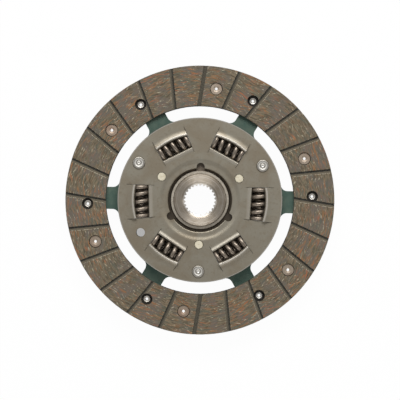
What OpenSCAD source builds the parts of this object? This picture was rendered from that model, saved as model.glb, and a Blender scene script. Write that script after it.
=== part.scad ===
// Sprung clutch disc: two riveted friction facings on a cushion disc, and a splined hub that
// twists against six damper springs between two guide plates. Millimetres, +Z to the front,
// origin on the axis in the middle of the cushion disc.

/* [Friction facings] */
// Outer diameter of the facings
facing_d = 200; // [170:1:240]
// Hole through each facing
facing_hole_d = 140; // [134:1:168]
// Thickness of one facing
facing_t = 3.5; // [2.8:0.1:4.5]
// Free gap between the two facings, the travel of the cushion
facing_gap = 1.2; // [0.9:0.1:1.6]
// Number of dust grooves in each facing
groove_n = 24; // [12:1:30]
// Width of a dust groove
groove_w = 2.9; // [1.6:0.1:3.6]
// Depth of a dust groove
groove_h = 1.0; // [0.5:0.1:1.4]
// Distance from the axis at which a groove's line passes
groove_skew = 12.2; // [0:0.1:16]

/* [Facing rivets] */
// Head of a facing rivet
rivet_head_d = 9; // [7:0.1:9.6]
// Shank of a facing rivet
rivet_shank_d = 4; // [3:0.1:4.8]
// Bore through a facing rivet
rivet_bore_d = 2.1; // [1.2:0.1:2.4]
// Rolled tail of a facing rivet
rivet_tail_d = 5.5; // [5:0.1:6.6]
// Facing left under a rivet's head
rivet_seat_t = 1.5; // [1:0.1:1.8]
// Angle of the front rivets past an arm
front_rivet_deg = 23; // [20:0.5:26]
// Angle of the rear rivets past an arm
rear_rivet_deg = 3.2; // [1:0.1:6]

/* [Cushion disc] */
// Thickness of the cushion disc's sheet
cushion_t = 0.7; // [0.5:0.05:0.85]
// Width of an arm
arm_w = 16.5; // [12:0.5:19]
// Clear opening from the guide plates to the facings
arm_reach = 9; // [7:0.5:10]
// Fillet where an arm leaves the disc
arm_fillet = 5; // [2:0.5:6]

/* [Guide plates] */
// Thickness of the guide plates' sheet
plate_t = 2; // [1.5:0.1:2.4]
// Depth of the dished ring round the front plate's hole
dish_h = 0.6; // [0.4:0.1:1.2]
// Width of the notches in the front plate's hole
notch_w = 6; // [4:0.5:8]
// Diameter of the hole that aligns the plates in assembly
index_hole_d = 6.5; // [4:0.5:8]
// Slope of the outer lips on the front plate's windows
front_outer_deg = 30; // [28:1:40]
// Slope of the inner lips on the front plate's windows
front_inner_deg = 18; // [17:1:30]
// Slope of the outer lips on the rear plate's windows
rear_outer_deg = 35; // [32:1:42]
// Slope of the inner lips on the rear plate's windows
rear_inner_deg = 32; // [28:1:40]

/* [Damper] */
// Outer diameter of a damper spring
spring_d = 15; // [12.5:0.5:18]
// Wire of a damper spring
spring_wire_d = 3; // [2.4:0.1:3.3]
// Fitted length of a damper spring
spring_len = 24; // [20:0.5:26]
// Turns of a damper spring
spring_turns = 4.8; // [4:0.1:5.8]
// Angle between the two springs of a pair
spring_pair_deg = 54.6; // [52:0.2:60]
// Twist of the hub to either stop
twist_deg = 8; // [5:0.5:9]
// Body of a stop pin
pin_d = 8.4; // [7:0.1:9.6]
// Riveted head of a stop pin
pin_head_d = 9.2; // [8.2:0.1:10.4]
// Locating peg of the friction ring
peg_d = 6.1; // [4:0.1:6.6]

/* [Hub] */
// Length of the hub
hub_len = 26; // [22:0.5:32]
// How far the hub stands in front of the cushion disc
hub_front = 11.6; // [10.6:0.2:16]
// Outer diameter of the hub's boss
boss_d = 38.4; // [36:0.2:41]
// Thickness of the hub's flange
flange_t = 3.4; // [3:0.1:4]
// Number of teeth in the bore
tooth_n = 26; // [18:1:30]
// Diameter across the tips of the bore's teeth
bore_d = 21.8; // [19:0.1:26.4]
// Height of a tooth
tooth_h = 1.1; // [0.9:0.1:1.5]

/* [Hidden] */
$fn = 72;
eps = 0.01;
over = 1;             // how far a cut runs past the face that it opens
run_gap = 0.05;       // between faces that slide on each other
pin_gap = 0.05;       // round a pin or rivet in its hole
twist_gap = 0.1;      // round what moves inside the flange's and the disc's windows
slit_w = 0.3;         // sheared slit beside a window's lip
arm_n = 6;
pair_n = 3;
window_n = 2 * pair_n;
arm_step = 360 / arm_n;
pair_step = 360 / pair_n;
pair_first_deg = 90;  // middle of the first pair of springs
pin_first_deg = 30;   // first stop pin and peg, half way between two pairs
seam_deg = 22;        // where a turned sheet closes on itself, clear of every window
groove_first_deg = 6.9;

// Facings: radii, rivets and the sheet between them
facing_r = facing_d / 2;
facing_hole_r = facing_hole_d / 2;
facing_edge = 0.3;
groove_edge = 0.25;
rivet_r = (facing_r + facing_hole_r) / 2 - 1.4;
rivet_head_t = 0.7;
rivet_tail_t = 0.8;
rivet_z = facing_gap / 2 + rivet_seat_t;
seat_r = rivet_head_d / 2 + 0.2;
access_r = rivet_tail_d / 2 + 1.5;
paddle_in_r = facing_hole_r + 1.6;
paddle_out_r = facing_r - 3.4;
paddle_gap_deg = 2.8;
// Half way between a front rivet and the next arm's rear rivet
paddle_deg = (front_rivet_deg + rear_rivet_deg + arm_step) / 2;
wave_h = (facing_gap - cushion_t) / 2;
wave_half_w = 5;

// Radii that the guide plates and the damper give
plate_r = facing_hole_r - arm_reach;
plate_edge_r = plate_r + 0.3;
plate_rim = 0.5;
pin_r = plate_r - 8.1;
pin_shank_d = pin_d - 2;
pin_head_t = 1.1;
spring_r = plate_r - 17.1;
index_r = pin_r - 2.8;
index_deg = pair_first_deg + pair_step;
coil_r = spring_d / 2;

// Radii that the hub gives
boss_r = boss_d / 2;
hub_edge = 0.5;
mouth_w = 2.55;
mouth_h = 1.4;
shoulder_r = boss_r + 2.6;
shoulder_groove_w = 0.5;
collar_r = shoulder_r + 0.6;
dish_in_r = collar_r + 2.2;
dish_out_r = dish_in_r + 3.2;
step_r = dish_out_r + 1.9;
notch_r = dish_out_r - 0.2;
ring_in_r = step_r + 0.4;
ring_out_r = spring_r - coil_r - 0.7;
peg_r = (ring_in_r + ring_out_r) / 2 + 0.2;
peg_gap = 0.35;
peg_proud = 0.4;
lobe_r = min(peg_d / 2 + 0.3, peg_r - step_r - run_gap);
bush_seat_r = boss_r + 3;
cone_out_r = ring_out_r - 2.8;
cushion_hole_r = cone_out_r + 1.2;
flange_r = pin_r + 3.6;

// Levels along the axis
cushion_z = cushion_t / 2;
washer_t = 0.9;
support_t = 0.8;
cone_h = 0.95;
cone_t = 0.5;
rear_plate_z = -cushion_z - plate_t;
flange_z = -cushion_z + cone_h + support_t + washer_t;
flange_top = flange_z + flange_t;
shoulder_top = flange_top + 1.6;
spring_z = flange_z + flange_t / 2;
ring_t = 1.9;
front_plate_z = flange_top + ring_t;
front_plate_top = front_plate_z + plate_t;
collar_h = ring_t - 0.4;

// Spring windows: a pair of lips reaches over each spring and leaves a slot along its crest
front_outer_cover = 3.1;
front_inner_cover = 1.7;
rear_lip_cover = 5.6;
lip_gap = 0.1;
lip_flat = 0.6;       // flat sheet that belongs to the lip, beyond its bend
lip_round = 0.8;
skin = 0.02;          // how far the lip's root lies inside the sheet's faces
window_taper = 3.5;
window_half_l = spring_len / 2 + coil_r * tan(window_taper) + run_gap;
front_outer = outer_lip(front_outer_cover, front_outer_deg);
front_inner = inner_lip(front_inner_cover, front_inner_deg);
rear_outer = outer_lip(rear_lip_cover, rear_outer_deg);
rear_inner = inner_lip(rear_lip_cover, rear_inner_deg);

// Damper springs: the end turns lie close, and the wire's end just clears the next turn
closed_turns = 0.6;
open_turns = spring_turns - 2 * closed_turns;
coil_r_mid = coil_r - spring_wire_d / 2;
coil_end = 0.22 * spring_wire_d;
coil_run = spring_len - 2 * coil_end;
closed_pitch = max(0, (1.03 * spring_wire_d - (1 - closed_turns) * coil_run / open_turns)
    / (closed_turns * (1 - 2 * (1 - closed_turns) / open_turns)));
open_pitch = (coil_run - 2 * closed_turns * closed_pitch) / open_turns;

function polar(r, a) = [r * cos(a), r * sin(a)];
function arc(cx, cy, r, a0, a1, n) =
    [for (i = [0:n]) [cx + r * cos(a0 + (a1 - a0) * i / n), cy + r * sin(a0 + (a1 - a0) * i / n)]];
// Middle of spring window i, from 0 to 5: two windows to a pair
function window_deg(i) =
    pair_first_deg + pair_step * floor(i / 2) + spring_pair_deg * (i % 2 - 0.5);

// Flat ring about the axis with broken edges
module washer(r_in, r_out, t, edge = 0.15) {
    rotate_extrude($fn = 120)
        polygon([
            [r_in + edge, 0], [r_out - edge, 0], [r_out, edge], [r_out, t - edge],
            [r_out - edge, t], [r_in + edge, t], [r_in, t - edge], [r_in, edge]
        ]);
}

// Plan of a spring window out along +X: straight inside, round outside, sides that open
// outwards. inner and outer move the two ends from the spring's axis, grow widens the sides.
module window_plan(inner, outer, grow = 0) {
    lean = tan(window_taper);
    x0 = spring_r - inner;
    x1 = spring_r + outer + 2;
    y0 = window_half_l - inner * lean + grow;
    y1 = window_half_l + (outer + 2) * lean + grow;
    intersection() {
        rotate(180) circle(spring_r + outer, $fn = 180);
        polygon([[x0, -y0], [x1, -y1], [x1, y1], [x0, y0]]);
    }
}

// A lip is [x, y, z]: the offset of its tip from the spring's axis, the tip's height over that
// axis, and the slope. The tip keeps lip_gap to the coil, and so does the slope where that is
// the nearer of the two. An outer lip is an arc about the disc's axis, so it comes nearest to
// the straight coil at the window's ends.
function tip_h(near, deg) = let (clear = coil_r + lip_gap)
    near > clear * sin(deg) ?
        sqrt(clear * clear - near * near) : (clear - near * sin(deg)) / cos(deg);
function inner_lip(cover, deg) = [coil_r - cover, tip_h(coil_r - cover, deg), deg];
function outer_lip(cover, deg) = let (
        r = spring_r + coil_r - cover,
        near = sqrt(r * r - window_half_l * window_half_l) - spring_r
    ) [coil_r - cover, tip_h(near, deg), deg];

// Where a lip's inner face bends into the sheet's, which lies hi over the spring's axis, and
// how far out the whole lip reaches
function lip_bend(hi, lip) = lip.x + (lip.y - hi) / tan(lip.z);
function lip_reach(hi, lip) = lip_bend(hi, lip) + plate_t * tan(lip.z / 2) + lip_flat;

// Section of a lip, from its root over the outer face to the rounded tip and back
function lip_section(hi, lip) = let (
        root = lip_reach(hi, lip),
        bend = root - lip_flat,
        ho = hi + plate_t - skin,
        tip = [lip.x, lip.y],
        across = [sin(lip.z), cos(lip.z)],
        down = [cos(lip.z), -sin(lip.z)],
        centre = tip + (plate_t - lip_round) * across + lip_round * down
    ) concat(
        [[root + 0.4, hi + skin], [root + 0.4, ho], [bend + 0.4, ho]],
        [[bend - 0.4 * cos(lip.z), ho + 0.4 * sin(lip.z)]],
        [for (a = [0:22.5:90]) centre + lip_round * (cos(a) * across - sin(a) * down)],
        [tip, [lip_bend(hi, lip), hi + skin]]
    );

// Both lips of one window along +X, rising along +Z, with the spring's axis at z = 0
module lips(hi, outer, inner) {
    turn_deg = 50;
    far = lip_reach(hi, outer) + 1;
    near = lip_reach(hi, inner) + 1;
    intersection() {
        rotate(-turn_deg / 2) rotate_extrude(angle = turn_deg, $fn = 180)
            translate([spring_r, 0]) polygon(lip_section(hi, outer));
        linear_extrude(2 * coil_r) window_plan(0, far, -slit_w);
    }
    intersection() {
        translate([spring_r, spring_len, 0]) rotate([90, 0, 0])
            linear_extrude(2 * spring_len) mirror([1, 0]) polygon(lip_section(hi, inner));
        linear_extrude(2 * coil_r) window_plan(near, 0, -slit_w);
    }
}

// Outline of the holes that a guide plate and the cushion disc share
module shared_holes() {
    for (k = [0:pair_n - 1])
        rotate(pin_first_deg + pair_step * k) translate([pin_r, 0])
            circle(d = pin_shank_d + 2 * pin_gap, $fn = 48);
    translate(polar(index_r, index_deg)) circle(d = index_hole_d, $fn = 48);
}

// Dust groove along +X across a facing, with its two edges broken
module groove() {
    w = groove_w / 2;
    translate([facing_hole_r / 2, groove_skew, facing_t]) rotate([90, 0, 90])
        linear_extrude(facing_r)
            polygon([
                [-w, -groove_h], [w, -groove_h], [w, -groove_edge], [w + groove_edge + over, over],
                [-w - groove_edge - over, over], [-w, -groove_edge]
            ]);
}

// Friction facing with its rubbing face up: a ring with skewed grooves, and two sets of holes
module facing() {
    color("dimgray") difference() {
        rotate_extrude($fn = 180)
            polygon([
                [facing_hole_r, 0], [facing_r, 0], [facing_r, facing_t - facing_edge],
                [facing_r - facing_edge, facing_t], [facing_hole_r + facing_edge, facing_t],
                [facing_hole_r, facing_t - facing_edge]
            ]);
        for (k = [0:groove_n - 1]) rotate(360 / groove_n * k + groove_first_deg) groove();
        for (k = [0:arm_n - 1]) {
            rotate(arm_step * k + front_rivet_deg) translate([rivet_r, 0, 0]) {
                translate([0, 0, rivet_seat_t]) cylinder(r = seat_r, h = facing_t, $fn = 48);
                translate([0, 0, -over])
                    cylinder(d = rivet_shank_d + 0.3, h = facing_t + 2 * over, $fn = 36);
            }
            rotate(arm_step * k + rear_rivet_deg) translate([rivet_r, 0, -over])
                cylinder(r = access_r, h = facing_t + 2 * over, $fn = 48);
        }
    }
}

module front_facing() {
    translate([0, 0, facing_gap / 2]) facing();
}

// The same facing turned over about a line half way between the two rivets of an arm
module rear_facing() {
    turn = (front_rivet_deg + rear_rivet_deg) / 2;
    rotate(turn) rotate([180, 0, 0]) rotate(-turn) front_facing();
}

// Concave corner between the disc's edge and the +Y side of the arm along +X
module arm_corner() {
    x = sqrt(pow(plate_edge_r + arm_fillet, 2) - pow(arm_w / 2 + arm_fillet, 2));
    c = [x, arm_w / 2 + arm_fillet];
    difference() {
        polygon([
            [x, arm_w / 2 - 1], c, c * plate_edge_r / (plate_edge_r + arm_fillet),
            [plate_edge_r - 4, arm_w / 2 - 1]
        ]);
        translate(c) circle(arm_fillet, $fn = 60);
    }
}

// Flat middle of the cushion disc with its six arms
module cushion_plan() {
    difference() {
        circle(plate_edge_r, $fn = 180);
        circle(cushion_hole_r, $fn = 120);
        for (i = [0:window_n - 1])
            rotate(window_deg(i)) window_plan(coil_r + twist_gap, coil_r + 0.7, 0.5);
        shared_holes();
    }
    for (k = [0:arm_n - 1]) rotate(arm_step * k) {
        translate([plate_edge_r - 4, -arm_w / 2]) square([paddle_in_r - plate_edge_r + 6, arm_w]);
        arm_corner();
        mirror([0, 1]) arm_corner();
    }
}

// One paddle along +X, waved across its width so that it touches the front facing on the
// one flank and the rear facing on the other
module paddle() {
    half = arm_step / 2 - paddle_gap_deg / 2;
    far = 2 * paddle_out_r;
    t = cushion_t / 2;
    rivet_deg = paddle_deg - front_rivet_deg;
    intersection() {
        translate([paddle_in_r - 20, 0, 0]) rotate([90, 0, 90])
            linear_extrude(paddle_out_r - paddle_in_r + 30)
                polygon([
                    [-far, wave_h - t], [-wave_half_w, wave_h - t], [wave_half_w, -wave_h - t],
                    [far, -wave_h - t], [far, -wave_h + t], [wave_half_w, -wave_h + t],
                    [-wave_half_w, wave_h + t], [-far, wave_h + t]
                ]);
        translate([0, 0, -facing_gap]) linear_extrude(2 * facing_gap) difference() {
            intersection() {
                circle(paddle_out_r, $fn = 180);
                polygon([[0, 0], polar(far, -half), polar(far, half)]);
            }
            circle(paddle_in_r, $fn = 180);
            for (a = [-rivet_deg, rivet_deg])
                translate(polar(rivet_r, a)) circle(d = rivet_shank_d + 2 * pin_gap, $fn = 36);
        }
    }
}

module cushion_disc() {
    color("darkslategray") {
        translate([0, 0, -cushion_z]) linear_extrude(cushion_t) cushion_plan();
        for (k = [0:arm_n - 1]) rotate(arm_step * k + paddle_deg) paddle();
    }
}

// Notch out along +X in the edge of the front plate's hole, round at its end
module hole_notch() {
    x = notch_r - notch_w / 2;
    translate([x, 0]) circle(d = notch_w, $fn = 48);
    translate([collar_r - over, -notch_w / 2]) square([x - collar_r + over, notch_w]);
}

// Front guide plate: dished round the hub, a collar turned down into its hole, six lipped
// windows, three notches, and holes for the pins and pegs
module front_guide_plate() {
    hi = front_plate_z - spring_z;
    t = plate_t;
    dish_top = t - dish_h;
    bend = 1.2;
    color("rosybrown") difference() {
        union() {
            difference() {
                translate([0, 0, front_plate_z]) rotate(seam_deg) rotate_extrude($fn = 180)
                    polygon(concat(
                        [[plate_r - 0.2, 0], [plate_r, 0.2]],
                        arc(plate_r - plate_rim, t - plate_rim, plate_rim, 0, 90, 5),
                        [[step_r + 0.3, t], [step_r - 0.3, t - 0.06]],
                        [[dish_out_r + 0.3, dish_top + 0.06], [dish_out_r - 0.3, dish_top]],
                        [[dish_in_r + 0.2, dish_top]],
                        arc(dish_in_r, dish_top - bend, bend, 80, 150, 5),
                        [[collar_r + 0.4, -dish_h - 0.3], [collar_r, -collar_h + 0.3]],
                        [[collar_r + 0.2, -collar_h], [collar_r + 1.4, -dish_h - 0.5]],
                        [[dish_in_r + 0.5, -dish_h], [dish_out_r, -dish_h], [step_r, 0]]
                    ));
                translate([0, 0, front_plate_z - over]) linear_extrude(t + 2 * over)
                    for (i = [0:window_n - 1]) rotate(window_deg(i))
                        window_plan(lip_reach(hi, front_inner), lip_reach(hi, front_outer));
            }
            translate([0, 0, spring_z]) for (i = [0:window_n - 1])
                rotate(window_deg(i)) lips(hi, front_outer, front_inner);
        }
        translate([0, 0, front_plate_z - collar_h - over]) linear_extrude(2 * coil_r) {
            shared_holes();
            for (k = [0:pair_n - 1]) {
                rotate(pin_first_deg + pair_step * k) translate([peg_r, 0])
                    circle(d = peg_d + 2 * peg_gap, $fn = 48);
                rotate(pair_first_deg + pair_step * k) hole_notch();
            }
        }
    }
}

// Rear guide plate: flat round the hub, with the same windows lipped to the rear. Its lips
// reach further over the springs and leave a narrower slot.
module rear_guide_plate() {
    hi = spring_z + cushion_z;
    color("rosybrown") difference() {
        union() {
            difference() {
                translate([0, 0, rear_plate_z]) rotate(seam_deg) rotate_extrude($fn = 180)
                    polygon(concat(
                        [[bush_seat_r + 0.2, 0], [plate_r - plate_rim, 0]],
                        arc(plate_r - plate_rim, plate_rim, plate_rim, -72, 0, 4),
                        [[plate_r, plate_t - 0.2], [plate_r - 0.2, plate_t]],
                        [[bush_seat_r, plate_t], [bush_seat_r, 0.2]]
                    ));
                translate([0, 0, rear_plate_z - over]) linear_extrude(plate_t + 2 * over)
                    for (i = [0:window_n - 1]) rotate(window_deg(i))
                        window_plan(lip_reach(hi, rear_inner), lip_reach(hi, rear_outer));
            }
            translate([0, 0, spring_z]) for (i = [0:window_n - 1])
                rotate(window_deg(i)) rotate([180, 0, 0]) lips(hi, rear_outer, rear_inner);
        }
        translate([0, 0, rear_plate_z - over]) linear_extrude(plate_t + 2 * over) shared_holes();
    }
}

// One tooth space of the bore, as four points: root flat and tip flat
function tooth(k) = let (a = 360 / tooth_n, r0 = bore_d / 2, r1 = bore_d / 2 + tooth_h) [
    polar(r1, a * (k - 0.11)), polar(r1, a * (k + 0.11)),
    polar(r0, a * (k + 0.38)), polar(r0, a * (k + 0.62))
];

// Conical mouth of the bore, widening up to z = 0
module bore_mouth() {
    translate([0, 0, -mouth_h])
        cylinder(r1 = bore_d / 2 - eps, r2 = bore_d / 2 + mouth_w + eps, h = mouth_h + eps,
            $fn = 120);
}

// Notch along +X in the flange, as wide as a stop pin needs over the whole twist
module pin_notch() {
    r = pin_d / 2 + twist_gap;
    stop = twist_deg + 0.15;
    for (a = [-stop, stop]) rotate(a) translate([pin_r, 0]) circle(r, $fn = 60);
    intersection() {
        difference() {
            circle(flange_r + 2, $fn = 180);
            circle(pin_r - r, $fn = 180);
        }
        polygon([[0, 0], polar(2 * flange_r, -stop), polar(2 * flange_r, stop)]);
    }
    for (a = [-stop, stop]) rotate(a)
        translate([pin_r, a < 0 ? -r : 0]) square([flange_r, r]);
}

// Forged hub: boss with a toothed bore, a shoulder behind a narrow groove, and a flange with
// six closed windows for the springs and three open notches for the stop pins
module splined_hub() {
    edge = hub_edge;
    root = 0.6;
    front = hub_front;
    rear = hub_front - hub_len;
    color("slategray") difference() {
        rotate_extrude($fn = 180)
            polygon([
                [0, rear], [boss_r - edge, rear], [boss_r, rear + edge],
                [boss_r, flange_z - root], [boss_r + root, flange_z], [flange_r - 0.3, flange_z],
                [flange_r, flange_z + 0.3], [flange_r, flange_top - 0.3],
                [flange_r - 0.3, flange_top], [shoulder_r + edge, flange_top],
                [shoulder_r, flange_top + edge], [shoulder_r, shoulder_top - edge],
                [shoulder_r - edge, shoulder_top], [boss_r + shoulder_groove_w, shoulder_top],
                [boss_r + shoulder_groove_w - 0.1, shoulder_top - 1], [boss_r, shoulder_top - 1],
                [boss_r, front - edge], [boss_r - edge, front], [0, front]
            ]);
        translate([0, 0, rear - over]) linear_extrude(hub_len + 2 * over)
            polygon([for (k = [0:tooth_n - 1]) each tooth(k)]);
        translate([0, 0, front]) bore_mouth();
        translate([0, 0, rear]) rotate([180, 0, 0]) bore_mouth();
        translate([0, 0, flange_z - over]) linear_extrude(flange_t + 2 * over) {
            for (i = [0:window_n - 1])
                rotate(window_deg(i)) window_plan(coil_r + 0.3, coil_r + 1.7);
            for (k = [0:pair_n - 1]) rotate(pin_first_deg + pair_step * k) pin_notch();
            translate(polar(index_r, index_deg)) circle(d = index_hole_d, $fn = 48);
        }
    }
}

// Moulded friction ring in front of the flange, with three pegs that hold it in the plate
module friction_ring() {
    peg_top = ring_t + plate_t + peg_proud - run_gap;
    edge = 0.3;
    color("wheat") translate([0, 0, flange_top + run_gap]) {
        washer(ring_in_r, ring_out_r, ring_t - run_gap, 0.2);
        for (k = [0:pair_n - 1]) rotate(pin_first_deg + pair_step * k) translate([peg_r, 0, 0]) {
            cylinder(r = lobe_r, h = ring_t - run_gap, $fn = 48);
            rotate_extrude($fn = 48)
                polygon([
                    [0, 0], [peg_d / 2, 0], [peg_d / 2, peg_top - edge],
                    [peg_d / 2 - edge, peg_top], [0, peg_top]
                ]);
        }
    }
}

// Friction washer behind the flange
module friction_washer() {
    color("saddlebrown") translate([0, 0, flange_z - washer_t])
        washer(shoulder_r + 0.4, ring_out_r - 2, washer_t - run_gap);
}

// Steel washer that spreads the cone spring's load over the friction washer
module support_washer() {
    color("silver") translate([0, 0, flange_z - washer_t - support_t])
        washer(shoulder_r + 0.6, ring_out_r - 2.4, support_t);
}

// Coned spring washer that loads the friction pack against the rear plate
module cone_spring_washer() {
    r_in = shoulder_r + 1.2;
    r_out = cone_out_r;
    color("gray") translate([0, 0, -cushion_z]) rotate_extrude($fn = 120)
        polygon([
            [r_in, cone_h - cone_t], [r_out - 0.2, 0], [r_out, 0], [r_out, cone_t - 0.1],
            [r_in + 0.2, cone_h], [r_in, cone_h]
        ]);
}

// Plastic bush in the rear plate's hole that runs on the hub's boss
module centring_bush() {
    seat = bush_seat_r - pin_gap;
    bore = boss_r + 0.08;
    lip_r = bush_seat_r + 2;
    lip_t = 1.8;
    edge = 0.3;
    color("darkslategray") translate([0, 0, rear_plate_z]) rotate_extrude($fn = 120)
        polygon([
            [bore, edge - lip_t], [bore + edge, -lip_t], [lip_r - edge, -lip_t],
            [lip_r, edge - lip_t], [lip_r, 0], [seat, 0], [seat, plate_t - 0.2],
            [bore, plate_t - 0.2]
        ]);
}

// How far along its own axis a damper spring's wire is after n turns
function coil_s(n) =
    n < closed_turns ? coil_end - spring_len / 2 + n * closed_pitch :
    n > spring_turns - closed_turns ?
        spring_len / 2 - coil_end - (spring_turns - n) * closed_pitch :
    (n - spring_turns / 2) * open_pitch;

// Wire swept along the coil with an eight-sided section, its end turns ground flat and its
// middle turn to the front
module damper_spring(i) {
    sides = 8;
    rings = round(18 * spring_turns);
    w = spring_wire_d / 2;
    half = spring_len / 2;
    points = [for (j = [0:rings], s = [0:sides - 1]) let (
            n = spring_turns * j / rings,
            a = 90 + 360 * (n - spring_turns / 2),
            q = 360 / sides * (s + 0.5),
            rho = coil_r_mid + w * cos(q),
            along = coil_s(n) + w * sin(q)
        )
        [rho * cos(a), rho * sin(a), min(max(along, -half), half)]];
    faces = concat(
        [[for (s = [0:sides - 1]) s]],
        [[for (s = [sides - 1:-1:0]) rings * sides + s]],
        [for (j = [0:rings - 1], s = [0:sides - 1]) let (n = (s + 1) % sides)
            [j * sides + s, (j + 1) * sides + s, (j + 1) * sides + n]],
        [for (j = [0:rings - 1], s = [0:sides - 1]) let (n = (s + 1) % sides)
            [j * sides + s, (j + 1) * sides + n, j * sides + n]]
    );
    color("dimgray") rotate(window_deg(i)) translate([spring_r, 0, spring_z]) rotate([90, 0, 0])
        polyhedron(points, faces, convexity = 10);
}

// Stop pin: a thick body that spaces the plates, and two riveted ends. The front head is
// dished a little round a small dimple.
module stop_pin(k) {
    r = pin_shank_d / 2;
    h = pin_head_d / 2;
    edge = 0.5;
    z0 = rear_plate_z - pin_head_t;
    z1 = front_plate_top + pin_head_t;
    color("silver") rotate(pin_first_deg + pair_step * k) translate([pin_r, 0, 0])
        rotate_extrude($fn = 60)
            polygon([
                [0, z0 + 0.3], [1, z0], [h - edge, z0], [h, z0 + edge], [h, rear_plate_z],
                [r, rear_plate_z], [r, cushion_z], [pin_d / 2, cushion_z],
                [pin_d / 2, front_plate_z], [r, front_plate_z], [r, front_plate_top],
                [h, front_plate_top], [h, z1 - 0.6], [h - 0.25, z1 - 0.2], [h - 0.8, z1],
                [h - 1.6, z1 - 0.05], [1.7, z1 - 0.25], [1.2, z1 - 0.1], [0.8, z1 - 0.1],
                [0, z1 - 0.4]
            ]);
}

// Tubular facing rivet with its head up: seat at z = 0, shank through the seat and the paddle,
// and its far end rolled over
module facing_rivet() {
    r = rivet_shank_d / 2;
    b = rivet_bore_d / 2;
    h = rivet_head_d / 2;
    grip = rivet_seat_t + cushion_t;
    tail = rivet_tail_d / 2;
    bottom = -grip - rivet_tail_t;
    color("peru") rotate_extrude($fn = 48)
        polygon([
            [b, rivet_head_t - 0.5], [b + 0.5, rivet_head_t - 0.15], [r + 0.4, rivet_head_t],
            [h - 0.3, rivet_head_t], [h, rivet_head_t - 0.3], [h, 0], [r, 0], [r, -grip],
            [tail - 0.2, -grip], [tail, -grip - 0.2], [tail - 0.1, bottom + 0.3],
            [tail - 0.6, bottom], [tail - 1, bottom + 0.1], [b, bottom + 0.8]
        ]);
}

module front_rivet(k) {
    rotate(arm_step * k + front_rivet_deg) translate([rivet_r, 0, rivet_z]) facing_rivet();
}

module rear_rivet(k) {
    rotate(arm_step * k + rear_rivet_deg)
        translate([rivet_r, 0, -rivet_z]) rotate([180, 0, 0]) facing_rivet();
}

front_facing();
rear_facing();
cushion_disc();
front_guide_plate();
rear_guide_plate();
splined_hub();
friction_ring();
friction_washer();
support_washer();
cone_spring_washer();
centring_bush();
damper_spring(0);  // damper_spring_1
damper_spring(1);  // damper_spring_2
damper_spring(2);  // damper_spring_3
damper_spring(3);  // damper_spring_4
damper_spring(4);  // damper_spring_5
damper_spring(5);  // damper_spring_6
stop_pin(0);  // stop_pin_1
stop_pin(1);  // stop_pin_2
stop_pin(2);  // stop_pin_3
front_rivet(0);  // front_rivet_1
front_rivet(1);  // front_rivet_2
front_rivet(2);  // front_rivet_3
front_rivet(3);  // front_rivet_4
front_rivet(4);  // front_rivet_5
front_rivet(5);  // front_rivet_6
rear_rivet(0);  // rear_rivet_1
rear_rivet(1);  // rear_rivet_2
rear_rivet(2);  // rear_rivet_3
rear_rivet(3);  // rear_rivet_4
rear_rivet(4);  // rear_rivet_5
rear_rivet(5);  // rear_rivet_6
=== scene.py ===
import math

import bpy
import numpy as np
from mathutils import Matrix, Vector


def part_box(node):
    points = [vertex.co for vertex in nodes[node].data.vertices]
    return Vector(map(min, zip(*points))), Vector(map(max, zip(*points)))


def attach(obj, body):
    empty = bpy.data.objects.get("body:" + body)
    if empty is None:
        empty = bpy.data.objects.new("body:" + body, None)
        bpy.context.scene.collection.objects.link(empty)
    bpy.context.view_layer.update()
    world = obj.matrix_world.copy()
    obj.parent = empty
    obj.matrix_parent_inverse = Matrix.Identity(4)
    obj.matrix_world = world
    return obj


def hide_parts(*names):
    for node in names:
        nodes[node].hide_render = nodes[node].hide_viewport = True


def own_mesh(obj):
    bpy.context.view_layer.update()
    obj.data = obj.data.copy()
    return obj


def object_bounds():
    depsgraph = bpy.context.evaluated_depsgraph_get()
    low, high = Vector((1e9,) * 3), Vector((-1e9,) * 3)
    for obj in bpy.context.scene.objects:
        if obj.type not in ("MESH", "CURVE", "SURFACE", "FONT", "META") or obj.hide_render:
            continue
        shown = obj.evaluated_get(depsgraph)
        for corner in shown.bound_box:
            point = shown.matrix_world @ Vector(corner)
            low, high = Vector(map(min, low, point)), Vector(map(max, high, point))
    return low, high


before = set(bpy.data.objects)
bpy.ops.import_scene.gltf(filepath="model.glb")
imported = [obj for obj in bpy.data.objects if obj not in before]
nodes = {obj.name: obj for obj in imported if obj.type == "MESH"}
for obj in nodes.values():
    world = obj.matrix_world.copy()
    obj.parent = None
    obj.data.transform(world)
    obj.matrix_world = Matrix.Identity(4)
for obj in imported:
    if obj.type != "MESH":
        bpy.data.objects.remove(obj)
cad_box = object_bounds()

# The view: straight down on the front face from well above it. The disc is turned a little
# clockwise, and its 200 mm facings fill two thirds of the picture.
PICTURE_PX = 400
FACING_R_PX = 134.55
CENTRE_PX = (199.89, 200.04)
CAMERA_UP_M = 1.25
SENSOR_MM = 36.0
ROLL_DEG = 1.4

facing_r, _, facing_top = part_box("front_facing")[1]
metres_per_px = facing_r / FACING_R_PX
camera = bpy.data.objects.new("camera", bpy.data.cameras.new("camera"))
bpy.context.scene.collection.objects.link(camera)
camera.location = (0, 0, facing_top + CAMERA_UP_M)
camera.rotation_euler = (0, 0, math.radians(ROLL_DEG))
camera.data.sensor_width = SENSOR_MM
camera.data.lens = SENSOR_MM * CAMERA_UP_M / (PICTURE_PX * metres_per_px)
camera.data.shift_x = (PICTURE_PX / 2 - CENTRE_PX[0]) / PICTURE_PX
camera.data.shift_y = (CENTRE_PX[1] - PICTURE_PX / 2) / PICTURE_PX
bpy.context.scene.camera = camera

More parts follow.
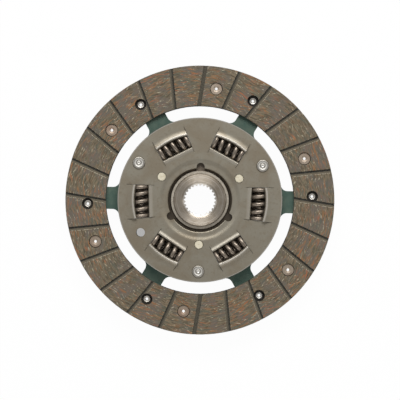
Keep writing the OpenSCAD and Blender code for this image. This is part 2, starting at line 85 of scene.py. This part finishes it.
# The two friction facings: rings of resin-bonded yarn, wound in waves between the inner and
# outer edges, baked, ground flat and cut with skewed dust grooves. Rivets sunk in stepped holes
# hold them to the cushion disc's paddles.
MEAN_R = 85.0
WANDER = 5
LANES_APART = 7.3
GROOVES = 24
GROOVE_FIRST_DEG = 6.9
GROOVE_OFFSET = 12.2
FACE_DEPTHS = (0.35, 0.05)
FRAY_DEPTHS = (0.42, 0.3, 0.06, 0.02)
FRAY_R = (71.2, 71.6, 98.6, 99.0)
LINING_GLOSS = 0.3


class Term:
    """A value, vector or colour in a material's nodes. Python's operators on values add Math
    nodes, and the methods add the other nodes."""

    def __init__(self, socket):
        self.socket = socket

    def node(self, kind, settings, inputs, out=0):
        """Adds any node: its settings come first, then the values or links of its sockets."""
        tree = self.socket.id_data
        made = tree.nodes.new(kind)
        for name, value in settings.items():
            setattr(made, name, value)
        for name, value in inputs.items():
            if isinstance(value, Term):
                tree.links.new(value.socket, made.inputs[name])
            else:
                made.inputs[name].default_value = value
        return Term(made.outputs[out])

    def math(self, operation, *others):
        """A Math node on this value and the others."""
        return self.node("ShaderNodeMath", {"operation": operation}, dict(enumerate((self, *others))))

    def __add__(self, other):
        return self.math("ADD", other)

    def __sub__(self, other):
        return self.math("SUBTRACT", other)

    def __rsub__(self, other):
        return self.node("ShaderNodeMath", {"operation": "SUBTRACT"}, {0: other, 1: self})

    def __mul__(self, other):
        return self.math("MULTIPLY", other)

    def __truediv__(self, other):
        return self.math("DIVIDE", other)

    def __pow__(self, other):
        return self.math("POWER", other)

    __radd__ = __add__
    __rmul__ = __mul__

    def rise(self, low, high):
        """0 below low and 1 above high, with a smooth slope between them."""
        inputs = {"Value": self, "From Min": low, "From Max": high}
        return self.node("ShaderNodeMapRange", {"interpolation_type": "SMOOTHSTEP"}, inputs)

    def band(self, low, full, ease, end):
        """1 from full to ease and 0 outside low and end, with smooth slopes between them."""
        return self.rise(low, full) * (1 - self.rise(ease, end))

    def mix(self, a, b):
        """Colour a where this mask is 0 and colour b where it is 1. The Mix node takes colours
        in sockets 6 and 7, and vectors in 4 and 5."""
        return self.node("ShaderNodeMix", {"data_type": "RGBA"}, {0: self, 6: a, 7: b}, out=2)

    def lean(self, a, b):
        """Direction a where this mask is 0, turning to direction b where it is 1."""
        return self.node("ShaderNodeMix", {"data_type": "VECTOR"}, {0: self, 4: a, 5: b}, out=1)

    def noise(self, scale, detail=2.0, roughness=0.5, warp=0.0):
        """Noise of about 0.5 read at this vector; scale is in waves per unit."""
        inputs = {
            "Vector": self, "Scale": scale, "Detail": detail,
            "Roughness": roughness, "Distortion": warp,
        }
        return self.node("ShaderNodeTexNoise", {}, inputs)

    def stretched(self, x, y, z):
        """This vector with each of its parts multiplied."""
        settings = {"operation": "MULTIPLY"}
        return self.node("ShaderNodeVectorMath", settings, {0: self, 1: (x, y, z)})

    def part(self, axis):
        """The x, y or z of this vector."""
        return self.node("ShaderNodeSeparateXYZ", {}, {0: self}, out="xyz".index(axis))

    def joined(self, y, z):
        """A vector of this term, y and z."""
        return self.node("ShaderNodeCombineXYZ", {}, {0: self, 1: y, 2: z})

    def reach(self, x=0.0, y=0.0):
        """How far this place lies from the upright line through x, y."""
        off_x = self.part("x") - x
        off_y = self.part("y") - y
        return (off_x * off_x + off_y * off_y) ** 0.5


def tone(red, green, blue):
    """A colour given as it looks on a screen, 0 to 255, as linear light."""
    shares = (c / 255 for c in (red, green, blue))
    linear = [c / 12.92 if c <= 0.04045 else ((c + 0.055) / 1.055) ** 2.4 for c in shares]
    return (*linear, 1.0)


def finish(name, metallic=0.0):
    """A new material: itself, its surface shader, and its place on the object in millimetres."""
    material = bpy.data.materials.new(name)
    material.use_nodes = True
    tree = material.node_tree
    shader = tree.nodes["Principled BSDF"]
    shader.inputs["Metallic"].default_value = metallic
    place = Term(tree.nodes.new("ShaderNodeTexCoord").outputs["Object"])
    return material, shader, place.stretched(1000, 1000, 1000)


def wear(shader, colour, roughness, height=None, depth=0.0, facing_way=None):
    """Links what varies over a surface to its shader: its colour and roughness, a height that
    is depth mm deep, and the way that the skin faces under that height."""
    tree = shader.id_data
    tree.links.new(colour.socket, shader.inputs["Base Color"])
    tree.links.new(roughness.socket, shader.inputs["Roughness"])
    if height is None:
        return
    inputs = {"Strength": 1.0, "Distance": depth / 1000, "Height": height}
    if facing_way is not None:
        inputs["Normal"] = facing_way
    bump = height.node("ShaderNodeBump", {}, inputs)
    tree.links.new(bump.socket, shader.inputs["Normal"])


def dress(material, *names):
    """Gives the material to CAD nodes, in every slot that they have."""
    for name in names:
        mesh = nodes[name].data
        mesh.materials.clear()
        mesh.materials.append(material)


DARK_RESIN = tone(78, 70, 56)
PALE_RESIN = tone(121, 109, 89)
STALE_RESIN = tone(101, 93, 85)
GREY = tone(82, 87, 77)
GREEN_FLECK = tone(88, 95, 74)
AMBER = tone(144, 100, 62)
RUST = tone(152, 92, 64)
PIT = tone(58, 52, 43)
GLASS = tone(172, 163, 140)
BLACK_GRIT = tone(34, 31, 26)
GREY_GRIT = tone(66, 65, 58)
PAINTED_LIT_FLOOR = tone(116, 107, 90)
FIBRE_AND_GLINT = tone(196, 187, 166)

facing, facing_shader, place = finish("woven_friction_lining")
x, y, z = place.part("x"), place.part("y"), place.part("z")
radius = place.reach()
angle = y.math("ARCTAN2", x)
round_x = x / radius * MEAN_R
round_y = y / radius * MEAN_R
drift = (place.noise(0.05, 1.0) - 0.5) * WANDER


def yarn(waves, swing, turn, along, across, seed):
    """Noise drawn out along yarns that swing in and out by swing mm, waves times a turn and
    shifted by turn. It has along waves per mm of yarn and across waves per mm from one yarn to
    the next, and seed takes it from lanes of its own."""
    lane = radius + (angle * waves + turn).math("SINE") * swing + drift + seed * LANES_APART
    return (round_x * along).joined(round_y * along, lane * across).noise(1.0, 2.0, 0.6)


brown_yarn = yarn(waves=6, swing=2.6, turn=0.4, along=0.11, across=1.0, seed=1)
rust_yarn = yarn(waves=9, swing=-3.0, turn=2.1, along=0.12, across=1.15, seed=2)
grey_yarn = yarn(waves=5, swing=4.0, turn=4.0, along=0.1, across=0.7, seed=3)
fine_yarn = yarn(waves=8, swing=2.5, turn=5.0, along=0.2, across=1.3, seed=5)
glass = yarn(waves=11, swing=2.5, turn=1.2, along=0.26, across=1.25, seed=4)
crossing = yarn(waves=13, swing=-4.0, turn=3.3, along=0.24, across=1.2, seed=6)
pits = place.noise(1.5, 2.0, 0.7)
flecks = place.noise(0.55, 2.0, 0.6)
patches = place.noise(0.1, 2.0, 0.6, 0.4)
rich = place.noise(0.07, 1.0, 0.5, 0.3)

# The ground face: yarns of several colours in dark resin, with short bright ends of glass
ground = fine_yarn.rise(0.3, 0.7).mix(DARK_RESIN, PALE_RESIN)
ground = (patches.rise(0.44, 0.6) * 0.75).mix(ground, STALE_RESIN)
ground = (grey_yarn.rise(0.54, 0.64) * 0.6).mix(ground, GREY)
ground = (flecks.rise(0.6, 0.68) * 0.4).mix(ground, GREEN_FLECK)
amber = brown_yarn.rise(0.55, 0.63) * (rich.rise(0.35, 0.6) * 0.6 + 0.1)
rust = rust_yarn.rise(0.6, 0.67) * (rich.rise(0.4, 0.6) * 0.55 + 0.2)
ground = rust.mix(amber.mix(ground, AMBER), RUST)
ground = (pits.rise(0.62, 0.72) * 0.55).mix(ground, PIT)
dashes = glass.rise(0.635, 0.69).math("MAXIMUM", crossing.rise(0.66, 0.71))
ground = (dashes * 0.75).mix(ground, GLASS)

# How far a point lies from the middle line of its nearest groove, by turning it back to the
# first groove, whose line passes the axis at GROOVE_OFFSET
mean_lean = math.asin(GROOVE_OFFSET / MEAN_R)
step = math.tau / GROOVES
turns = (angle - (math.radians(GROOVE_FIRST_DEG) + mean_lean)) / step + 0.5
from_groove = (turns.math("FRACT") - 0.5) * step + mean_lean
across = radius * from_groove.math("SINE") - GROOVE_OFFSET

# The grooves have dark gritty floors. On the front, the -Y side of each floor, which the light from
# +Y reaches, is painted paler as painted light. The cutter has frayed the grooves' edges, and extra
# pale fibre along that side's edge is a painted highlight.
downward = across * x / radius * -1
lit_floor_paint = downward.rise(-0.3, 0.5) * z.rise(0, 1) * 0.8
grit_and_lit_floor = lit_floor_paint.mix(pits.rise(0.4, 0.62).mix(BLACK_GRIT, GREY_GRIT), PAINTED_LIT_FLOOR)
top = facing_top * 1000
height = z.math("ABSOLUTE")
skin = height.rise(*(top - depth for depth in FACE_DEPTHS)).mix(grit_and_lit_floor, ground)
edge = height.band(*(top - depth for depth in FRAY_DEPTHS)) * radius.band(*FRAY_R)
# Fray with a painted highlight: pale fibre along the edges, most along each groove's -Y side
fray_and_glint = edge * fine_yarn.rise(0.4, 0.55) * (downward.rise(0.1, 1.0) * 0.7 + 0.3)
skin = fray_and_glint.mix(skin, FIBRE_AND_GLINT)
relief = brown_yarn * 0.4 + rust_yarn * 0.3 + fine_yarn * 0.5 - pits.rise(0.6, 0.76) * 0.6
wear(facing_shader, skin, 0.8 - dashes * 0.25 + pits * 0.1, relief, 0.12)
facing_shader.inputs["Specular IOR Level"].default_value = LINING_GLOSS
dress(facing, "front_facing", "rear_facing")

# The cushion disc: thin spring steel sheet, hardened and phosphated to a dull green-grey, with
# waved paddles between the facings that make the clutch bite softly. The paddles are darker from
# where they run in under the facings.
PADDLE_R = (69.6, 72.0)
DEEP_GREEN = tone(62, 86, 76)
SOFT_GREEN = tone(80, 98, 86)
CRYSTAL_GREEN = tone(96, 110, 98)
DARK_UNDER_FACINGS = tone(44, 39, 32)

cushion, cushion_shader, place = finish("green_spring_sheet", metallic=0.25)
cloud = place.noise(0.09, 3.0, 0.6)
speck = place.noise(1.3, 2.0, 0.6)
green = cloud.rise(0.35, 0.65).mix(DEEP_GREEN, SOFT_GREEN)
green = (speck.rise(0.62, 0.75) * 0.6).mix(green, CRYSTAL_GREEN)
green = place.reach().rise(*PADDLE_R).mix(green, DARK_UNDER_FACINGS)
wear(cushion_shader, green, 0.44 + speck * 0.16, speck, 0.02)
dress(cushion, "cushion_disc")

# The guide plates: 2 mm steel pressings, dished and pierced in one press, whose six windows
# have lips bent out over the springs. Dull rolled surface with handling marks. The lips carry a
# painted sheen, their top edges and the rim a painted highlight, and the central hole's wall painted
# shade.
PLATE_TOP = 9.6
HOLE_R = (23.4, 24.2)
HOLE_DEPTHS = (1.1, 0.7)
RIM_INSETS = (0.9, 0.4)
DISH_R = 28.6
DISH_HALF_W = 2.4
DISH_FADE = 0.4
DISH_LEAN = -0.26
FLAT_R = (32.5, 33.5)
OUTER_LIP_R = (41.5, 42.5)
INNER_BEND = 0.6
OUTER_BEND = 2.9
LIP_EDGE = (2.6, 2.95)
WARM_STEEL = tone(138, 128, 111)
COOL_STEEL = tone(147, 141, 127)
STAIN = tone(124, 114, 97)
SCRATCH = tone(162, 156, 144)
PAINTED_LIP_SHEEN = tone(192, 186, 174)
PAINTED_LIP_GLINT = tone(200, 194, 184)
PAINTED_RIM_HIGHLIGHT = tone(190, 184, 174)
PAINTED_SHADE = tone(88, 79, 69)

plate, plate_shader, place = finish("pressed_plate_steel", metallic=0.75)
x, y, z = place.part("x"), place.part("y"), place.part("z")
radius = place.reach()
plate_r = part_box("front_guide_plate")[1][0] * 1000
cloud = place.noise(0.06, 3.0, 0.6, 0.5)
mottle = place.noise(0.4, 3.0, 0.65)
scratch = place.stretched(0.25, 3.0, 1.0).noise(1.0, 3.0, 0.6)
rim = radius.rise(*(plate_r - inset for inset in RIM_INSETS))
outer_lip = radius.rise(*OUTER_LIP_R)
bend = outer_lip * (OUTER_BEND - INNER_BEND) + INNER_BEND
raised = ((z - PLATE_TOP) / bend).rise(0.2, 1.25)
lip_edge = z.rise(*(PLATE_TOP + up for up in LIP_EDGE))
in_hole = (1 - radius.rise(*HOLE_R)) * (1 - z.rise(*(PLATE_TOP - depth for depth in HOLE_DEPTHS)))
steel = cloud.rise(0.3, 0.7).mix(WARM_STEEL, COOL_STEEL)
steel = (mottle.rise(0.5, 0.72) * 0.5).mix(steel, STAIN)
steel = (scratch.rise(0.66, 0.74) * 0.35).mix(steel, SCRATCH)
# Painted sheen: the raised lips are painted lighter, most on the inner lips
steel = (raised * (0.4 - outer_lip * 0.3)).mix(steel, PAINTED_LIP_SHEEN)
# Painted highlight along the lips' top edges
steel = (lip_edge * 0.7).mix(steel, PAINTED_LIP_GLINT)
# Painted shade: the wall of the plate's central hole is painted dark
steel = (in_hole * 0.85).mix(steel, PAINTED_SHADE)
# Painted highlight round the plate's rolled rim
steel = rim.mix(steel, PAINTED_RIM_HIGHLIGHT)

# The way that the skin faces: the dish's ramp leans in softly, and from FLAT_R out to the rim
# the sheet round the lips is flat
skin_way = place.node("ShaderNodeNewGeometry", {}, {}, out="Normal")
on_top = skin_way.part("z").rise(0.5, 0.7) * z.rise(0, 1)
dish_in, dish_out = DISH_R - DISH_HALF_W, DISH_R + DISH_HALF_W
slope = radius.band(dish_in, DISH_R, DISH_R, dish_out) * DISH_LEAN
dish = radius.band(dish_in - DISH_FADE, dish_in, dish_out, dish_out + DISH_FADE)
way = (on_top * dish).lean(skin_way, (x / radius * slope).joined(y / radius * slope, 1.0))
sheet = on_top * (1 - raised) * radius.rise(*FLAT_R)
way = sheet.lean(way, (0.0, 0.0, 1.0))
rough = 0.38 + mottle * 0.16 - rim * 0.16
wear(plate_shader, steel, rough, mottle + scratch * 0.3, 0.03, way)
dress(plate, "front_guide_plate", "rear_guide_plate")

# The hub: a steel forging, turned on its ends and boss, with its flange ground and its teeth
# broached. The lathe's rings spread the light along every radius of the end face. The bore's mouth
# is painted light as a painted highlight, and the flange between the plates is painted dark as
# painted shade.
MOUTH_R = (12.0, 12.9)
SHOULDER_R = (19.5, 19.9, 21.2, 21.4)
FLANGE_R = (21.4, 21.6)
FLANGE_TOP = (8.6, 9.0)
FORGED = tone(158, 146, 130)
TURNED = tone(176, 166, 152)
BRIGHT_RING = tone(214, 207, 197)
DARK_BLOTCH = tone(122, 110, 98)
PAINTED_MOUTH_HIGHLIGHT = tone(216, 210, 201)
PALE_SHOULDER = tone(196, 188, 174)
DULL_SHOULDER = tone(176, 167, 152)

hub, hub_shader, place = finish("turned_hub_steel", metallic=0.9)
z = place.part("z")
radius = place.reach()
rings = radius.joined(0.0, z * 0.6).noise(1.6, 3.0, 0.7)
blotch = place.noise(0.12, 3.0, 0.6)
steel = blotch.rise(0.35, 0.65).mix(FORGED, TURNED)
steel = (rings.rise(0.5, 0.68) * 0.7).mix(steel, BRIGHT_RING)
steel = (blotch.rise(0.5, 0.7) * rings.rise(0.4, 0.6) * 0.5).mix(steel, DARK_BLOTCH)
# Painted highlight on the bore's mouth
steel = (1 - radius.rise(*MOUTH_R)).mix(steel, PAINTED_MOUTH_HIGHLIGHT)
# Painted shade: the flange, deep under the front plate, is painted dark
flange = radius.rise(*FLANGE_R) * (1 - z.rise(*FLANGE_TOP))
steel = (flange * 0.9).mix(steel, PAINTED_SHADE)
wear(hub_shader, steel, 0.38 + blotch * 0.12, rings, 0.05)
hub_shader.inputs["Anisotropic"].default_value = 0.8
hub_shader.inputs["Anisotropic Rotation"].default_value = 0.25


def show(material, surface):
    """Makes a shader the surface of the material."""
    tree = material.node_tree
    tree.links.new(surface.socket, tree.nodes["Material Output"].inputs["Surface"])


# The shoulder's ring is worn plain, so it has a shader without the lathe's spread
shoulder = radius.band(*SHOULDER_R)
speck = place.noise(0.9, 2.0, 0.6)
ring_tone = speck.rise(0.35, 0.65).mix(PALE_SHOULDER, DULL_SHOULDER)
ring_looks = {"Base Color": ring_tone, "Roughness": 0.42, "Metallic": 0.6}
plain_ring = shoulder.node("ShaderNodeBsdfPrincipled", {}, ring_looks)
parts = {0: shoulder, 1: Term(hub_shader.outputs[0]), 2: plain_ring}
show(hub, shoulder.node("ShaderNodeMixShader", {}, parts))
dress(hub, "splined_hub")

# The friction ring: moulded in cream plastic, a little stained by handling. Its three pegs stand
# in holes of the front plate and keep it from turning.
IVORY = tone(208, 200, 178)
STAINED_IVORY = tone(186, 176, 150)

cream, cream_shader, place = finish("cream_plastic")
stain = place.noise(0.5, 3.0, 0.6)
ivory = stain.rise(0.45, 0.7).mix(IVORY, STAINED_IVORY)
wear(cream_shader, ivory, stain * 0.2 + 0.4)
dress(cream, "friction_ring")

# The friction washer: a ring cut from woven lining board, brown and rough. It lies behind the
# hub's flange and damps the twist.
DARK_BROWN = tone(70, 50, 36)
PALE_BROWN = tone(118, 92, 70)

lining, lining_shader, place = finish("brown_lining")
grit = place.noise(1.6, 3.0, 0.7)
wear(lining_shader, grit.mix(DARK_BROWN, PALE_BROWN), 0.7 + grit * 0.2, grit, 0.05)
dress(lining, "friction_washer")

# The support washer and the coned spring washer: stamped from rolled steel sheet. The coned one
# presses the pack together against the rear plate.
DULL_STEEL = tone(128, 128, 126)
BRIGHT_STEEL = tone(164, 162, 158)

washer, washer_shader, place = finish("rolled_washer_steel", metallic=0.9)
grit = place.noise(0.8, 3.0, 0.6)
wear(washer_shader, grit.mix(DULL_STEEL, BRIGHT_STEEL), 0.32 + grit * 0.2)
dress(washer, "support_washer", "cone_spring_washer")

# The centring bush: moulded in dark plastic, seated in the rear plate's hole. It carries the
# hub's boss.
NEAR_BLACK = tone(36, 40, 40)
RUBBED_BLACK = tone(58, 62, 60)

bush, bush_shader, place = finish("dark_bush_plastic")
grit = place.noise(1.1, 3.0, 0.6)
wear(bush_shader, grit.mix(NEAR_BLACK, RUBBED_BLACK), 0.42 + grit * 0.2)
dress(bush, "centring_bush")

# The stop pins: cold-headed steel, bright from the tool. Each is riveted over both plates, and
# the rolling tool has left rings round its head.
PINS = 3
RINGS_A_MM = 3.4
RINGS_SHIFT = 1.2
HEAD_R = (4.0, 4.3)
FURROW = tone(150, 146, 138)
RIDGE = tone(222, 219, 212)
PAINTED_OUTLINE_SHADE = tone(120, 112, 100)

pin, pin_shader, place = finish("bright_pin_steel", metallic=0.9)
grit = place.noise(1.4, 3.0, 0.6)
pin_low, pin_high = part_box("stop_pin_1")
pin_x, pin_y = ((pin_low[k] + pin_high[k]) / 2 * 1000 for k in (0, 1))
x, y = place.part("x"), place.part("y")
radius = place.reach()
# A point on any pin, turned back to one beside the X axis, gives its distance from its pin
apart = math.tau / PINS
turned = (y.math("ARCTAN2", x) - math.atan2(pin_y, pin_x)) / apart + 0.5
turned = (turned.math("FRACT") - 0.5) * apart
beside = (radius * turned.math("COSINE")).joined(radius * turned.math("SINE"), 0.0)
from_pin = beside.reach(math.hypot(pin_x, pin_y))
ridges = (from_pin * RINGS_A_MM - RINGS_SHIFT).math("SINE").rise(-0.6, 0.8)
# Painted shade: the head's edge and side are painted darker as an outline
bright = from_pin.rise(*HEAD_R).mix(ridges.mix(FURROW, RIDGE), PAINTED_OUTLINE_SHADE)
wear(pin_shader, bright, 0.42 + grit * 0.12, ridges + grit * 0.3, 0.03)
dress(pin, *(f"stop_pin_{k + 1}" for k in range(PINS)))

# The facing rivets: tubes of soft steel, half of them headed to the front and half to the rear.
# Their coppered heads have dulled; the rolled tails at the bottom of the holes are bright.
HEAD_Z = (1.3, 1.7)
RIVETS_A_SIDE = 6
DULL_COPPER = tone(182, 167, 150)
RED_COPPER = tone(172, 146, 126)
BRIGHT_TAIL = tone(222, 218, 210)

rivet, rivet_shader, place = finish("coppered_rivet_steel", metallic=0.9)
grit = place.noise(1.2, 3.0, 0.6)
flush = place.noise(0.05, 2.0, 0.6)
head = place.part("z").math("ABSOLUTE").rise(*HEAD_Z)
copper = flush.rise(0.42, 0.62).mix(DULL_COPPER, RED_COPPER)
wear(rivet_shader, head.mix(BRIGHT_TAIL, copper), 0.34 + grit * 0.16, grit, 0.02)
rivets = (f"{side}_rivet_{k + 1}" for side in ("front", "rear") for k in range(RIVETS_A_SIDE))
dress(rivet, *rivets)

# The damper springs: hard-drawn steel wire, coiled with closed ends that are ground flat to
# seat in the windows, and left dark from tempering. The coil is a little under the window's
# size, so that it clears the lips when it tilts.
SPRING_D = 14.7
WIRE_D = 3.2
SPRING_LEN = 24.0
TURNS = 4.8
CLOSED_TURNS = 0.6
CLEAR_WIRES = 1.03
END_WIRES = 0.22
PAIRS = 3
PAIR_FIRST_DEG = 90.0
PAIR_DEG = 54.6
SEAT_R = 43.9
WIRE_SIDES = 20
RINGS_A_TURN = 48
DARK_WIRE = tone(132, 121, 109)
PALE_WIRE = tone(148, 137, 124)

wire, wire_shader, place = finish("tempered_spring_wire", metallic=0.85)
grit = place.noise(1.5, 3.0, 0.6)
wear(wire_shader, grit.rise(0.3, 0.7).mix(DARK_WIRE, PALE_WIRE), 0.33 + grit * 0.06)


def coil():
    """A coil along +Z, centred. Over n turns the wire's centre runs round at constant radius
    and climbs by the closed pitch in the end turns and by the open pitch between them:
    (r cos a, r sin a, s(n)) with a = 90 + 360 (n - TURNS / 2) degrees. Each wire end just
    clears the next turn, and both ends are cut flat."""
    open_turns = TURNS - 2 * CLOSED_TURNS
    end = END_WIRES * WIRE_D
    run = SPRING_LEN - 2 * end
    loose = 1 - CLOSED_TURNS
    spare = CLEAR_WIRES * WIRE_D - loose * run / open_turns
    closed_pitch = spare / (CLOSED_TURNS * (1 - 2 * loose / open_turns))
    closed = CLOSED_TURNS * closed_pitch
    turn = np.linspace(0, TURNS, int(TURNS * RINGS_A_TURN) + 1)
    knots = [0, CLOSED_TURNS, TURNS - CLOSED_TURNS, TURNS]
    climb = np.interp(turn, knots, [0, closed, run - closed, run]) + end - SPRING_LEN / 2
    around = np.radians(90 + 360 * (turn - TURNS / 2))[:, None]
    section = (np.arange(WIRE_SIDES) + 0.5) * 2 * np.pi / WIRE_SIDES
    out = SPRING_D / 2 - WIRE_D / 2 + WIRE_D / 2 * np.cos(section)[None, :]
    up = climb[:, None] + WIRE_D / 2 * np.sin(section)[None, :]
    up = np.clip(up, -SPRING_LEN / 2, SPRING_LEN / 2)
    return np.stack([out * np.cos(around), out * np.sin(around), up], axis=-1)


def tube(grid, name):
    """A closed skin over a grid of rings: a face between each four points, a cap at each end."""
    rings, sides = grid.shape[:2]
    here = np.arange(rings * sides).reshape(rings, sides)
    after = np.roll(here, -1, axis=1)
    quads = np.stack([here[:-1], here[1:], after[1:], after[:-1]], axis=-1).reshape(-1, 4)
    caps = [here[0].tolist(), here[-1][::-1].tolist()]
    mesh = bpy.data.meshes.new(name)
    mesh.from_pydata(grid.reshape(-1, 3).tolist(), [], quads.tolist() + caps)
    mesh.polygons.foreach_set("use_smooth", np.ones(len(mesh.polygons), bool))
    mesh.update()
    piece = bpy.data.objects.new(name, mesh)
    bpy.context.scene.collection.objects.link(piece)
    return piece


wound = coil() / 1000
for i in range(2 * PAIRS):
    node = f"damper_spring_{i + 1}"
    middle = sum(np.array(corner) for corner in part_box(node)) / 2
    heading = math.radians(PAIR_FIRST_DEG + 360 / PAIRS * (i // 2) + PAIR_DEG * (i % 2 - 0.5))
    outward = np.array([math.cos(heading), math.sin(heading), 0])
    tangent = np.array([math.sin(heading), -math.cos(heading), 0])
    seat = outward * SEAT_R / 1000 + [0, 0, middle[2]]
    world = seat + wound[..., :1] * outward + wound[..., 1:2] * [0, 0, 1] + wound[..., 2:] * tangent
    spring = tube(world, f"spring_{i + 1}")
    spring.data.materials.append(wire)
    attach(spring, "springs")
    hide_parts(node)
    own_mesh(spring)

# The table: white to the camera and in the metal's reflections, clear from below, and plain
# white paint to all other light. Right under the plates it lies in their shadow, less deep
# under the plate's index hole, through which it shows as a grey spot.
FLOOR_SIZE_M = 6.0
FLOOR_WHITE = 0.97
SHADOW = 0.9
SHADOW_R = (20.0, 22.0, 55.0, 57.0)
INDEX_R = 50.1
INDEX_DEG = 210
SPOT_R = (5.1, 5.83)
SPOT_SHADOW = 0.65
TABLE_PAINT = tone(235, 235, 235)

floor_z = cad_box[0][2]
half = FLOOR_SIZE_M / 2
corners = [(x, y, floor_z) for x, y in ((-half, -half), (half, -half), (half, half), (-half, half))]
floor_mesh = bpy.data.meshes.new("floor")
floor_mesh.from_pydata(corners, [], [(0, 1, 2, 3)])
floor = bpy.data.objects.new("floor", floor_mesh)
bpy.context.scene.collection.objects.link(floor)
white, white_shader, place = finish("white_table")
white_shader.inputs["Base Color"].default_value = TABLE_PAINT
white_shader.inputs["Roughness"].default_value = 0.9
camera_ray, glossy_ray, clear_ray = (
    place.node("ShaderNodeLightPath", {}, {}, out=f"Is {kind} Ray")
    for kind in ("Camera", "Glossy", "Transmission")
)
index = math.radians(INDEX_DEG)
from_index = place.reach(INDEX_R * math.cos(index), INDEX_R * math.sin(index))
shadow = place.reach().band(*SHADOW_R)
shadow = shadow * (from_index.rise(*SPOT_R) * (1 - SPOT_SHADOW) + SPOT_SHADOW)
looked_at = (camera_ray + glossy_ray + clear_ray).math("MINIMUM", 1.0)
seen = looked_at * (FLOOR_WHITE - shadow * SHADOW)
glow = place.node("ShaderNodeEmission", {}, {"Color": (1, 1, 1, 1), "Strength": 1.0})
lit = {0: seen, 1: Term(white_shader.outputs[0]), 2: glow}
cover = seen.node("ShaderNodeMixShader", {}, lit)
from_below = place.node("ShaderNodeNewGeometry", {}, {}, out="Backfacing") * camera_ray
clear = place.node("ShaderNodeBsdfTransparent", {}, {})
show(white, seen.node("ShaderNodeMixShader", {}, {0: from_below, 1: cover, 2: clear}))
floor_mesh.materials.append(white)

# The room and its lamps: pale walls that the camera sees as white, one broad light beyond the
# top of the picture, a weaker one beyond the bottom, and a faint one on each side.
ROOM_LIGHT = 0.34

world = bpy.data.worlds.new("room")
world.use_nodes = True
room = world.node_tree.nodes["Background"]
room.inputs["Color"].default_value = (1, 1, 1, 1)
sight = Term(world.node_tree.nodes.new("ShaderNodeLightPath").outputs["Is Camera Ray"])
shine = sight * (1 - ROOM_LIGHT) + ROOM_LIGHT
world.node_tree.links.new(shine.socket, room.inputs["Strength"])
bpy.context.scene.world = world


def softbox(name, direction, distance, width, height, watts):
    """A rectangular lamp in that direction from the object, facing it; its sizes are in
    metres."""
    lamp = bpy.data.lights.new(name, "AREA")
    lamp.shape = "RECTANGLE"
    lamp.size = width
    lamp.size_y = height
    lamp.energy = watts
    piece = bpy.data.objects.new(name, lamp)
    bpy.context.scene.collection.objects.link(piece)
    aim = Vector(direction).normalized()
    piece.location = aim * distance
    piece.rotation_euler = aim.to_track_quat("Z", "Y").to_euler()


softbox("far_light", (0, 0.8, 0.85), distance=1.9, width=1.6, height=0.88, watts=33)
softbox("near_light", (0, -0.95, 0.6), distance=1.9, width=1.75, height=0.73, watts=10)
softbox("left_light", (-1.0, 0.15, 0.5), distance=1.3, width=0.4, height=0.6, watts=0.8)
softbox("right_light", (1.0, 0.15, 0.5), distance=1.3, width=0.4, height=0.6, watts=1.2)

bpy.context.scene.view_settings.view_transform = "Standard"
